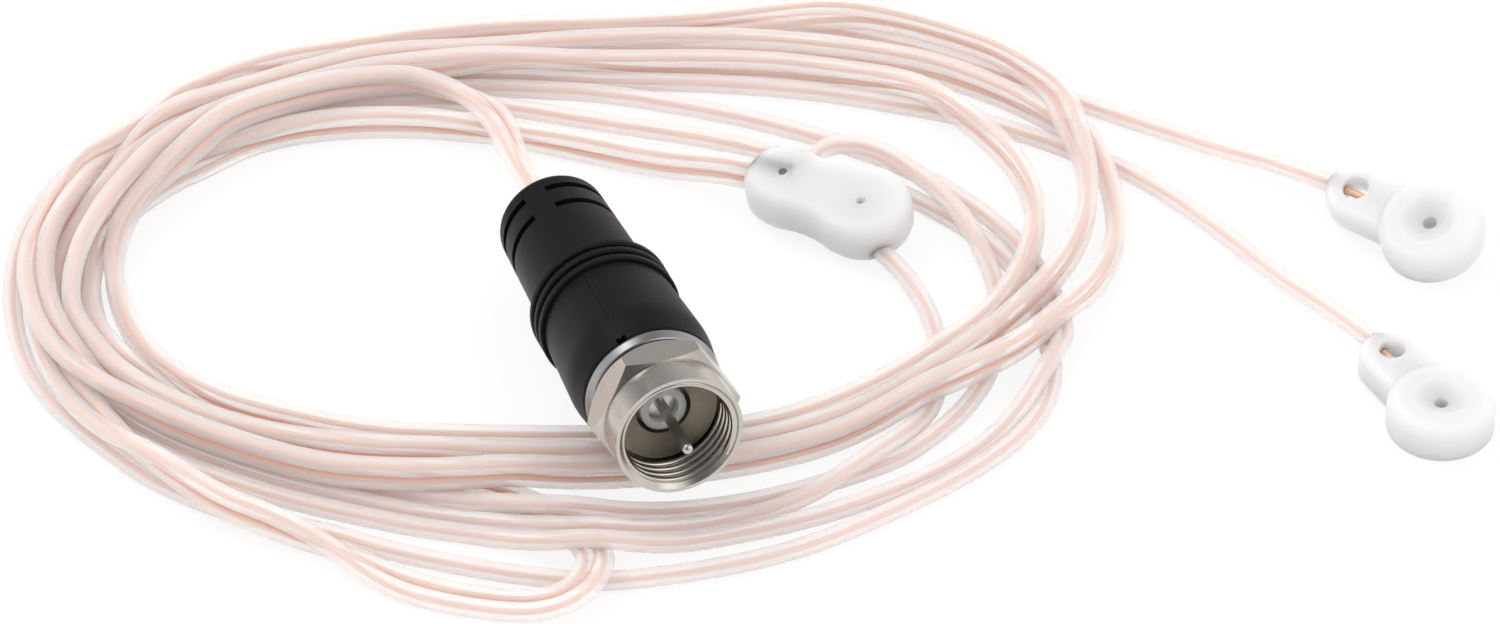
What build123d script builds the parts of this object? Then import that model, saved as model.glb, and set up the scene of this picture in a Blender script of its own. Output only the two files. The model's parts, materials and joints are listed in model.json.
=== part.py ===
"""FM indoor dipole antenna: a screw-on coaxial plug with a moulded grip, a coiled twin lead,
a junction block where the twin parts into two single arms, and a moulded tab on each arm's end.
Millimetres, +Z up, the antenna lying coiled on z = 0, +X to the right, the plug's mouth towards -Y."""

import math
import os

from build123d import *

# Cord
cord_d = 1.65
twin_width = 2 * cord_d
conductor_r = 0.35
floor_lift = 0.05
bend_share = 0.45

# Plug placing: centre of the tail's end face, and the way the axis points
plug_tail = Vector(-37.85, 11.95, 6.15)
plug_yaw = 18.8
plug_pitch = 7.8

# Moulded plug body, along the axis from the tail
tail_r = 4.65
barrel_r = 5.15
tail_length = 13.2
tail_edge_r = 0.9
ridge_band_length = 3.6
ridge_count = 3
ridge_r = 6.1
ridge_groove_depth = 0.45
ridge_width = 0.75
ridge_round = 0.2
front_back_r = 5.75
front_r = 6.2
front_length = 10.8
front_nose_length = 3.0
front_nose_r = 5.8
front_nose_round = 8.0
front_edge_r = 0.45
slot_ring_places = (1.8, 4.6)
slot_length = 0.85
slot_depth = 1.0
slot_arc = 156.0
seam_angle = 113.0
seam_arc = 2.4
seam_depth = 0.14
nick_arc = 9.0
nick_length = 0.7
nick_depth = 0.8
cord_grip_length = 6.0
lead_exit_run = 5.0

# Matching transformer inside the body
core_width = 6.2
core_thickness = 3.6
core_length = 6.0
core_hole_r = 0.75
core_hole_spacing = 2.7
core_clearance = 0.1
core_start = 11.4

# Metal post, insulator and centre pin
post_barrel_r = 3.9
post_seat_length = 6.6
post_bore_r = 2.35
shoulder_r = 5.3
shoulder_length = 1.0
neck_r = 3.4
flange_r = 4.35
flange_length = 1.0
flange_funnel = 0.6
insulator_front_r = 1.95
insulator_front_length = 1.6
insulator_recess = 0.5
pin_r = 0.45
pin_shank_r = 1.3
pin_recess = 1.0
pin_tip_r = 0.4
pin_reach = 2.4

# Coupling nut
hex_across_flats = 11.0
hex_length = 2.9
hex_back_chamfer = 1.2
hex_chamfer = 0.45
collar_r = 5.4
collar_length = 3.0
mouth_bevel = 0.35
thread_bore_r = 4.75
lip_length = 1.1
nut_end_play = 0.15
nut_running_gap = 0.15

# Junction block
block_centre = Vector(-14.6, 18.4, 1.05)
block_turn = -30.0
block_tilt = 13.0
block_thickness = 4.2
lobe_spacing = 7.6
lead_lobe_r = 3.4
arm_lobe_r = 4.1
arm_lobe_rise = 0.3
notch_r = 1.5
notch_place = -1.6
waist_r = 8.0
waist_place = -0.6
waist_depth = 0.25
block_corner_r = 1.5
block_edge_r = 1.3
vent_r = 0.4
vent_depth = 0.8

# End tabs
boss_r = 4.5
boss_height = 3.5
boss_edge_r = 1.1
boss_foot_r = 0.5
dish_r = 2.3
dish_depth = 0.8
pin_hole_r = 0.6
plate_width = 5.5
plate_thickness = 2.6
plate_edge_r = 0.7
eye_place = 7.4
eye_r = 1.15
plate_reach = 10.1
cord_hold_length = 1.5
tab_exit_run = 1.4
tab_a_boss = Vector(36.8, 14.8, 1.58)
tab_a_turn = 144.0
tab_a_roll = -22.0
tab_b_boss = Vector(36.0, -7.4, floor_lift)
tab_b_turn = 120.2
tab_b_roll = 0.0

# Coil: outlines seen from above, and the heights of its lower and upper turns
coil_lower_height = 3.1
coil_upper_height = 5.3
coil_edge_r = 1.2
coil_outside = [
    (-83.3, 6.4), (-81.1, 21.2), (-72.1, 32), (-57.6, 39.2), (-39.6, 42.2), (-19.6, 43.2), (-5.6, 41.7),
    (3.9, 35.2), (9.4, 26.2), (11.2, 16.2), (8.9, 6.2), (3.9, -4.3), (-2.6, -13.3), (-12.6, -20.3),
    (-25.2, -24.4), (-41.4, -24.4), (-57.9, -19.3), (-73, -11.8), (-80.6, -2.8),
]
coil_inside = [
    (-72.9, 7.2), (-70.1, 0), (-62.6, -5.1), (-51.6, -8.4), (-37.6, -9.6), (-23.6, -8.2), (-12.6, -4),
    (-5.4, 2.2), (-0.8, 9.2), (1.6, 17.2), (-0.1, 25.2), (-6.6, 30.2), (-17.6, 32.5), (-29.6, 34.2),
    (-39.6, 32.2), (-46.6, 29.8), (-55.6, 28.8), (-64.1, 26.7), (-70.1, 19.2),
]
crest_outside = [
    (-81.6, 5.2), (-79.6, 20.2), (-71.1, 30.5), (-56.6, 37.5), (-39.6, 40.6), (-19.6, 41.6), (-6.6, 39.7),
    (1.4, 34.2),
]
crest_inside = [
    (-2.6, 32.7), (-17.6, 35.2), (-31.6, 36.7), (-44.6, 35.2), (-57.6, 32.7), (-66.6, 28.2), (-72.6, 19.2),
    (-75.1, 8.2), (-76.6, 3.2),
]

# Derived places along the plug's axis
ridge_start = tail_length
front_start = ridge_start + ridge_band_length
body_length = front_start + front_length
nose_start = body_length - front_nose_length
shoulder_end = body_length + shoulder_length
hex_start = shoulder_end + nut_end_play
collar_start = hex_start + hex_length
mouth = collar_start + collar_length
lip_end = hex_start + lip_length
flange_start = lip_end + nut_end_play
flange_end = flange_start + flange_length
post_back = body_length - post_seat_length
insulator_front = flange_end - insulator_recess
shank_end = insulator_front - pin_recess
hex_corner_r = hex_across_flats / 2 / math.cos(math.pi / 6)
winding_r = cord_d / 2 - conductor_r
winding_bend_r = core_hole_spacing / 2
core_end = core_start + core_length
pin_back = core_end + winding_bend_r + winding_r
conductor_end = core_start - winding_bend_r

# Plug axis, and planes through it that hold a radius and the axis
yaw = math.radians(plug_yaw)
pitch = math.radians(plug_pitch)
plug_axis = Vector(
    math.sin(yaw) * math.cos(pitch), -math.cos(yaw) * math.cos(pitch), math.sin(pitch)
)
plug_side = Vector(math.cos(yaw), math.sin(yaw), 0)
plug_up = plug_axis.cross(plug_side)
plug_line = Axis(plug_tail, plug_axis)


def section_at(angle):
    """Plane with x along the radius at an angle from the plug's right side, and y along its axis."""
    radius = plug_side.rotate(Axis((0, 0, 0), plug_axis), angle)
    return Plane(plug_tail, x_dir=radius, z_dir=radius.cross(plug_axis))


def across_at(place):
    """Plane across the plug's axis, at a distance from the tail."""
    return Plane(plug_tail + plug_axis * place, x_dir=plug_side, z_dir=plug_axis)


def bend_radii(points):
    """Largest tangent arc for each inner point of a cord's route."""
    radii = []
    for before, point, after in zip(points, points[1:], points[2:]):
        arriving = Vector(point) - Vector(before)
        leaving = Vector(after) - Vector(point)
        half_turn = math.radians(arriving.get_angle(leaving)) / 2
        radii.append(bend_share * min(arriving.length, leaving.length) / math.tan(half_turn))
    return radii


def start_plane(points):
    """Plane across the first run of a cord's route, with x as upright as it can be."""
    run = Vector(points[1]) - Vector(points[0])
    along = run.normalized()
    upright = Vector(0, 0, 1) - along * along.Z
    return Plane(points[0], x_dir=upright, z_dir=along)


plug_plane = section_at(0)

# Routes of the stretches that aren't coiled
twin_z = twin_width / 2 + floor_lift
single_z = cord_d / 2 + floor_lift
lead_start = plug_tail + plug_axis * cord_grip_length
lead_exit = plug_tail - plug_axis * lead_exit_run
routes = {
    "feed_lead": [
        lead_start, lead_exit, (-41.5, 23.2, 5.2), (-44.3, 28.6, 5.4), (-47.9, 32.2, 5.4), (-53, 34.2, 5.2),
    ],
    "feed_fold": [
        (-66.1, -16.4, twin_z), (-59.1, -21.6, twin_z), (-50.4, -27.4, twin_z), (-43.6, -30.2, twin_z),
        (-38.4, -30.8, twin_z), (-34.9, -29.3, twin_z), (-33.5, -26.5, twin_z), (-33.9, -23.2, twin_z),
    ],
    "feed_tail": [
        (-48.1, 32.2, twin_z), (-42.6, 30.2, twin_z), (-37.4, 27.9, 1.8), (-32.2, 25.9, 2.1),
        (-27.1, 24.1, 2.5), (-22.2, 22.1, 3.1), (-17.4, 20.0, 3.4),
    ],
    "arm_a_root": [
        (-16.6, 20.6, 3.6), (-15.6, 23.5, 4.1), (-13.6, 25.3, 4.2), (-10.8, 25.2, 4.0), (-8, 23.2, 3.5),
        (-5, 19.8, 3.1), (-2.8, 16.2, 2.9), (-1.2, 12.2, 2.8), (0.8, 7.6, 2.6),
    ],
    "arm_b_root": [
        (-12.2, 15.4, 2.4), (-9.7, 12.6, 1.7), (-7.8, 10, 1.2), (-6.4, 6.8, 1.0), (-5.3, 3.1, single_z),
        (-5, -1, single_z),
    ],
    "arm_a_chord": [
        (-42.7, 36.8, single_z), (-35, 35.5, single_z), (-25.4, 32.9, single_z), (-16.8, 29.9, single_z),
        (-9.8, 26.5, single_z), (-4.4, 22.4, single_z), (0.2, 17.5, single_z), (3, 12.7, single_z),
    ],
    "arm_b_chord": [
        (-43, 33.6, single_z), (-37, 31.9, single_z), (-29.6, 30.3, single_z), (-20.6, 27.6, single_z),
        (-14.2, 25, single_z), (-8.2, 21.8, single_z), (-3.4, 17.7, single_z), (0.4, 13.4, single_z),
        (2.8, 9, single_z),
    ],
}


def tab_plane(boss, turn, roll):
    """Plane under a tab's boss, with x towards the cord and z tipped about it by the roll."""
    reach = Vector(1, 0, 0).rotate(Axis.Z, turn)
    upright = Vector(0, 0, 1).rotate(Axis((0, 0, 0), reach), roll)
    return Plane(boss, x_dir=reach, z_dir=upright)


tab_planes = {
    "a": tab_plane(tab_a_boss, tab_a_turn, tab_a_roll),
    "b": tab_plane(tab_b_boss, tab_b_turn, tab_b_roll),
}
plate_middle = boss_height / 2
cord_stop = eye_place + eye_r + cord_hold_length / 2
arm_leads = {
    "a": [(-2.6, 35.8, 2.6), (2.6, 33.8, 2.8), (8.8, 31.1, 2.9), (15.2, 27.9, 2.9), (21, 24.5, 2.8)],
    "b": [(-1.1, 28.8, 2.0), (4.4, 26.8, 2.1), (9.8, 23.8, 2.2), (15, 19.6, 2.2), (19.8, 14.8, 2.1),
          (24, 9.8, 1.9)],
}
for side, plane in tab_planes.items():
    tab_entry = plane.from_local_coords((plate_reach + tab_exit_run, 0, plate_middle))
    tab_inside = plane.from_local_coords((cord_stop, 0, plate_middle))
    routes[f"arm_{side}_end"] = arm_leads[side] + [tab_entry, tab_inside]

os.makedirs("parts", exist_ok=True)

# Cord tubes: the twin stands on its edge, the arms are round
cords = {}
for name, points in routes.items():
    radii = bend_radii(points)
    print(name, "bend radii", [round(radius, 1) for radius in radii])
    with BuildPart() as cord:
        with BuildLine() as route:
            FilletPolyline(*points, radius=radii)
        with BuildSketch(start_plane(points)):
            if name.startswith("feed"):
                SlotOverall(twin_width, cord_d)
            else:
                Circle(cord_d / 2)
        sweep(path=route.line)
    cord.part.label = name
    cords[name] = cord.part
    export_step(cord.part, f"parts/{name}.step")

# Coil: the outer shape of the loose turns, a low ring with a higher crest at the back and left
with BuildPart() as coil:
    with BuildSketch(Plane.XY):
        with BuildLine():
            Spline(*coil_outside, periodic=True)
        make_face()
        with BuildLine():
            Spline(*coil_inside, periodic=True)
        make_face(mode=Mode.SUBTRACT)
    extrude(amount=coil_lower_height)
    fillet(coil.edges().group_by(Axis.Z)[-1], coil_edge_r)
    fillet(coil.edges().group_by(Axis.Z)[0], coil_edge_r)
    with BuildSketch(Plane.XY.offset(coil_edge_r)):
        with BuildLine():
            back = Spline(*crest_outside)
            front = Spline(*crest_inside)
            Line(back @ 1, front @ 0)
            Line(front @ 1, back @ 0)
        make_face()
    extrude(amount=coil_upper_height - coil_edge_r)
    fillet(coil.edges().group_by(Axis.Z)[-1], coil_edge_r)
coil.part.label = "cord_coil"
export_step(coil.part, "parts/cord_coil.step")

# Plug body, moulded around the cord, the transformer and the post
with BuildPart() as connector_body:
    with BuildSketch(plug_plane) as body_profile:
        with BuildLine():
            Polyline(
                (0, 0), (tail_r, 0), (barrel_r, ridge_start), (ridge_r - ridge_groove_depth, ridge_start),
                (ridge_r - ridge_groove_depth, front_start), (front_back_r, front_start),
                (front_r, nose_start), (front_nose_r, body_length), (0, body_length), close=True,
            )
        make_face()
        fillet(body_profile.vertices().sort_by_distance((front_r, nose_start))[0], front_nose_round)
        fillet(body_profile.vertices().group_by(Axis.Y)[-1].sort_by(Axis.X)[-1], front_edge_r)
        fillet(body_profile.vertices().group_by(Axis.Y)[0].sort_by(Axis.X)[-1], tail_edge_r)
    revolve(axis=plug_line)
    with BuildSketch(plug_plane) as ridge_profile:
        with Locations((ridge_r / 2, ridge_start + ridge_band_length / 2)):
            with GridLocations(0, ridge_band_length / ridge_count, 1, ridge_count):
                Rectangle(ridge_r, ridge_width)
        fillet(ridge_profile.vertices().group_by(Axis.X)[-1], ridge_round)
    revolve(axis=plug_line)
    for side in (seam_angle - 90, seam_angle + 90):
        with BuildSketch(section_at(side - slot_arc / 2)):
            for place in slot_ring_places:
                with Locations((barrel_r, place)):
                    Rectangle(2 * slot_depth, slot_length, align=(Align.CENTER, Align.MIN))
        revolve(axis=plug_line, revolution_arc=slot_arc, mode=Mode.SUBTRACT)
    with BuildSketch(section_at(seam_angle - seam_arc / 2)):
        with BuildLine():
            Polyline(
                (front_back_r - seam_depth, front_start), (front_r, front_start), (front_r, body_length),
                (front_nose_r - seam_depth, body_length), (front_r - seam_depth, nose_start), close=True,
            )
        make_face()
    revolve(axis=plug_line, revolution_arc=seam_arc, mode=Mode.SUBTRACT)
    with BuildSketch(section_at(seam_angle - nick_arc / 2)):
        with Locations((front_nose_r, body_length)):
            Rectangle(2 * nick_depth, nick_length, align=(Align.CENTER, Align.MAX))
    revolve(axis=plug_line, revolution_arc=nick_arc, mode=Mode.SUBTRACT)
    with BuildSketch(across_at(body_length)):
        Circle(post_barrel_r)
    extrude(amount=-post_seat_length, mode=Mode.SUBTRACT)
    with BuildSketch(across_at(cord_grip_length)):
        SlotOverall(core_width + 2 * core_clearance, core_thickness + 2 * core_clearance)
    extrude(amount=post_back - cord_grip_length, mode=Mode.SUBTRACT)
    add(cords["feed_lead"], mode=Mode.SUBTRACT)
connector_body.part.label = "connector_body"
export_step(connector_body.part, "parts/connector_body.step")

# Post: barrel in the body, shoulder in front of it, neck for the nut's lip, funnel-faced flange
with BuildPart() as connector_post:
    with BuildSketch(plug_plane):
        with BuildLine():
            Polyline(
                (post_bore_r, post_back), (post_barrel_r, post_back), (post_barrel_r, body_length),
                (shoulder_r, body_length), (shoulder_r, shoulder_end), (neck_r, shoulder_end),
                (neck_r, flange_start), (flange_r, flange_start), (flange_r, flange_end),
                (post_bore_r, flange_end - flange_funnel), close=True,
            )
        make_face()
    revolve(axis=plug_line)
connector_post.part.label = "connector_post"
export_step(connector_post.part, "parts/connector_post.step")

# Insulator: a bush in the post's bore with a narrower nose, around the centre pin
with BuildPart() as pin_insulator:
    with BuildSketch(plug_plane):
        with BuildLine():
            Polyline(
                (pin_shank_r, post_back), (post_bore_r, post_back),
                (post_bore_r, insulator_front - insulator_front_length),
                (insulator_front_r, insulator_front - insulator_front_length),
                (insulator_front_r, insulator_front), (pin_shank_r, insulator_front), close=True,
            )
        make_face()
    revolve(axis=plug_line)
pin_insulator.part.label = "pin_insulator"
export_step(pin_insulator.part, "parts/pin_insulator.step")

# Centre pin: a shank in the insulator, and a thinner free end with a rounded tip past the nut's mouth
with BuildPart() as centre_pin:
    with BuildSketch(plug_plane) as pin_profile:
        with Locations((0, shank_end)):
            Rectangle(pin_r, mouth + pin_reach - shank_end, align=(Align.MIN, Align.MIN))
        fillet(pin_profile.vertices().group_by(Axis.Y)[-1].sort_by(Axis.X)[-1], pin_tip_r)
        with Locations((0, pin_back)):
            Rectangle(pin_shank_r, shank_end - pin_back, align=(Align.MIN, Align.MIN))
    revolve(axis=plug_line)
centre_pin.part.label = "centre_pin"
export_step(centre_pin.part, "parts/centre_pin.step")

# Coupling nut: chamfered hexagon, round collar, threaded bore and a lip behind the post's flange
with BuildPart() as coupling_nut:
    with BuildSketch(across_at(hex_start)):
        RegularPolygon(hex_across_flats / 2, 6, major_radius=False)
    extrude(amount=hex_length)
    with BuildSketch(plug_plane):
        with BuildLine():
            Polyline(
                (0, hex_start), (hex_across_flats / 2, hex_start), (hex_corner_r, hex_start + hex_back_chamfer),
                (hex_corner_r, collar_start - hex_chamfer), (hex_across_flats / 2, collar_start),
                (0, collar_start), close=True,
            )
        make_face()
    revolve(axis=plug_line, mode=Mode.INTERSECT)
    with BuildSketch(across_at(collar_start)):
        Circle(collar_r)
    extrude(amount=collar_length)
    with BuildSketch(plug_plane):
        with BuildLine():
            Polyline(
                (0, hex_start), (neck_r + nut_running_gap, hex_start), (neck_r + nut_running_gap, lip_end),
                (thread_bore_r, lip_end), (thread_bore_r, mouth - mouth_bevel),
                (thread_bore_r + mouth_bevel, mouth), (0, mouth), close=True,
            )
        make_face()
    revolve(axis=plug_line, mode=Mode.SUBTRACT)
coupling_nut.part.label = "coupling_nut"
export_step(coupling_nut.part, "parts/coupling_nut.step")

# Matching transformer: a two-hole ferrite core and a winding through both holes
with BuildPart() as ferrite_core:
    with BuildSketch(across_at(core_start)):
        SlotOverall(core_width, core_thickness)
        with GridLocations(core_hole_spacing, 0, 2, 1):
            Circle(core_hole_r, mode=Mode.SUBTRACT)
    extrude(amount=core_length)
ferrite_core.part.label = "ferrite_core"
export_step(ferrite_core.part, "parts/ferrite_core.step")

with BuildPart() as transformer_winding:
    with BuildSketch(across_at(core_start)):
        with GridLocations(core_hole_spacing, 0, 2, 1):
            Circle(winding_r)
    extrude(amount=core_length)
    for place, half_turn in ((core_start, 180), (core_end, -180)):
        with BuildSketch(across_at(place)):
            with Locations((winding_bend_r, 0)):
                Circle(winding_r)
        revolve(axis=Axis(plug_tail + plug_axis * place, plug_up), revolution_arc=half_turn)
transformer_winding.part.label = "transformer_winding"
export_step(transformer_winding.part, "parts/transformer_winding.step")

# Bared conductors of the feed cord, from its end to the winding
with BuildPart() as feed_conductors:
    with BuildSketch(across_at(cord_grip_length)):
        with GridLocations(0, cord_d, 1, 2):
            Circle(conductor_r)
    extrude(amount=conductor_end - cord_grip_length)
feed_conductors.part.label = "feed_conductors"
export_step(feed_conductors.part, "parts/feed_conductors.step")

# Junction block: two rounded lobes with a notch and a waist, moulded around the parting cord
block_along = Vector(1, 0, 0).rotate(Axis.Z, block_turn)
block_up = Vector(0, 0, 1).rotate(Axis((0, 0, 0), block_along), block_tilt)
block_plane = Plane(block_centre, x_dir=block_along, z_dir=block_up)
with BuildPart() as junction_block:
    with BuildSketch(block_plane) as block_outline:
        with Locations((-lobe_spacing / 2, 0)):
            Circle(lead_lobe_r)
        with Locations((lobe_spacing / 2, arm_lobe_rise)):
            Circle(arm_lobe_r)
        make_hull()
        with Locations((waist_place, -lead_lobe_r - waist_r + waist_depth)):
            waist = Circle(waist_r, mode=Mode.SUBTRACT)
        fillet(block_outline.vertices().sort_by_distance(waist.center())[:2], block_corner_r)
    extrude(amount=block_thickness)
    block_faces = junction_block.faces().sort_by(Axis((0, 0, 0), block_up))
    fillet(block_faces[-1].edges(), block_edge_r)
    fillet(block_faces[0].edges(), block_edge_r)
    with BuildSketch(block_plane.offset(block_thickness)):
        with GridLocations(lobe_spacing, 0, 2, 1):
            Circle(vent_r)
    extrude(amount=-vent_depth, mode=Mode.SUBTRACT)
    with BuildSketch(block_plane):
        with Locations((notch_place, lead_lobe_r + notch_r / 2)):
            Circle(notch_r)
    extrude(amount=block_thickness, mode=Mode.SUBTRACT)
    for name in ("feed_tail", "arm_a_root", "arm_b_root"):
        add(cords[name], mode=Mode.SUBTRACT)
junction_block.part.label = "junction_block"
export_step(junction_block.part, "parts/junction_block.step")

# End tabs: a dished boss with a pin hole, and a flat plate with an eye where the wire shows
for side, plane in tab_planes.items():
    wire_start = Plane(
        plane.from_local_coords((cord_stop, 0, plate_middle)), x_dir=plane.z_dir, z_dir=-plane.x_dir
    )
    wire_length = cord_stop - eye_place + eye_r + cord_hold_length / 2
    with BuildPart() as arm_wire:
        with BuildSketch(wire_start):
            Circle(conductor_r)
        extrude(amount=wire_length)
    arm_wire.part.label = f"arm_{side}_wire"
    export_step(arm_wire.part, f"parts/arm_{side}_wire.step")

    with BuildPart() as end_tab:
        with BuildSketch(plane.offset(plate_middle - plate_thickness / 2)) as plate_outline:
            with Locations((plate_reach / 2 - plate_width / 4, 0)):
                Rectangle(plate_reach - plate_width / 2, plate_width)
            with Locations((plate_reach - plate_width / 2, 0)):
                Circle(plate_width / 2)
            with Locations((eye_place, 0)):
                Circle(eye_r, mode=Mode.SUBTRACT)
        extrude(amount=plate_thickness)
        plate_faces = end_tab.faces().sort_by(Axis((0, 0, 0), plane.z_dir))
        fillet(plate_faces[-1].outer_wire().edges(), plate_edge_r)
        boss_line = Axis(plane.origin, plane.z_dir)
        boss_section = Plane(plane.origin, x_dir=plane.x_dir, z_dir=-plane.y_dir)
        with BuildSketch(boss_section) as boss_profile:
            Rectangle(boss_r, boss_height, align=(Align.MIN, Align.MIN))
            fillet(boss_profile.vertices().group_by(Axis.Y)[-1].sort_by(Axis.X)[-1], boss_edge_r)
            fillet(boss_profile.vertices().group_by(Axis.Y)[0].sort_by(Axis.X)[-1], boss_foot_r)
        revolve(axis=boss_line)
        with BuildSketch(boss_section):
            with BuildLine():
                Polyline(
                    (0, 0), (pin_hole_r, 0), (pin_hole_r, boss_height - dish_depth), (dish_r, boss_height),
                    (0, boss_height), close=True,
                )
            make_face()
        revolve(axis=boss_line, mode=Mode.SUBTRACT)
        add(cords[f"arm_{side}_end"], mode=Mode.SUBTRACT)
        add(arm_wire.part, mode=Mode.SUBTRACT)
    end_tab.part.label = f"end_tab_{side}"
    export_step(end_tab.part, f"parts/end_tab_{side}.step")
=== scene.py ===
"""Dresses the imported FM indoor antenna: cords, finishes, small details, studio and camera.

Lengths in the sub-assemblies are millimetres in the row frame, and MM turns them into metres. Those of
the finishes, the lamps, the floor and the camera's clipping are metres.
"""

from __future__ import annotations

import json
import logging
import math
from dataclasses import dataclass, field
from enum import Enum
from typing import Any, Sequence, Union

import bmesh
import bpy
import numpy as np
from mathutils import Matrix, Vector
from mathutils.kdtree import KDTree

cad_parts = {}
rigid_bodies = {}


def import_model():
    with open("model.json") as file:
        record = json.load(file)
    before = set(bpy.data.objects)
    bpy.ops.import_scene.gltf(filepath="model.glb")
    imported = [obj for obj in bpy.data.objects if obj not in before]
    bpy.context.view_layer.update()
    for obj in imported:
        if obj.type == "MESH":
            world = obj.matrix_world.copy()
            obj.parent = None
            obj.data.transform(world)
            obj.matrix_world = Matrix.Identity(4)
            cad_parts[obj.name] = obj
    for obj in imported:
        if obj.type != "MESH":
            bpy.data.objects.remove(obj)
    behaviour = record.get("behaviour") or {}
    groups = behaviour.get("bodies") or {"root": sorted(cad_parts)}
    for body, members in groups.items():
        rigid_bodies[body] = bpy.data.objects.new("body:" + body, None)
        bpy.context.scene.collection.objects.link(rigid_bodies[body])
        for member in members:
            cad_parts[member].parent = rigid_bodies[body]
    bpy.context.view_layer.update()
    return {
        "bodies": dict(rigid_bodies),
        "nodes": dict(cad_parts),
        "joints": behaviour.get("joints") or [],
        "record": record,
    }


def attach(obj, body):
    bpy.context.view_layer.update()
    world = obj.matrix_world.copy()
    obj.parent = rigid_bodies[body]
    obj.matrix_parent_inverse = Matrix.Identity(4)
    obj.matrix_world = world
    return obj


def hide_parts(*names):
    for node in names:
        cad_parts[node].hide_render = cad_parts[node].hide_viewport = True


LOG = logging.getLogger("fm_antenna")
MM = 0.001
TINY = 1e-6
WHITE = (1.0, 1.0, 1.0, 1.0)
UPWARD = np.array((0.0, 0.0, 1.0))

Pair = tuple[float, float]
Stops = tuple[Pair, ...]
Point = tuple[float, float, float]
Points = tuple[Point, ...]
Colour = tuple[float, float, float]

# Place of the plug in the part: the end of its tail and the direction towards its mouth.
PLUG_TAIL: Point = (-37.85, 11.95, 6.15)
PLUG_AXIS: Point = (0.319284, -0.937891, 0.135716)

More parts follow.
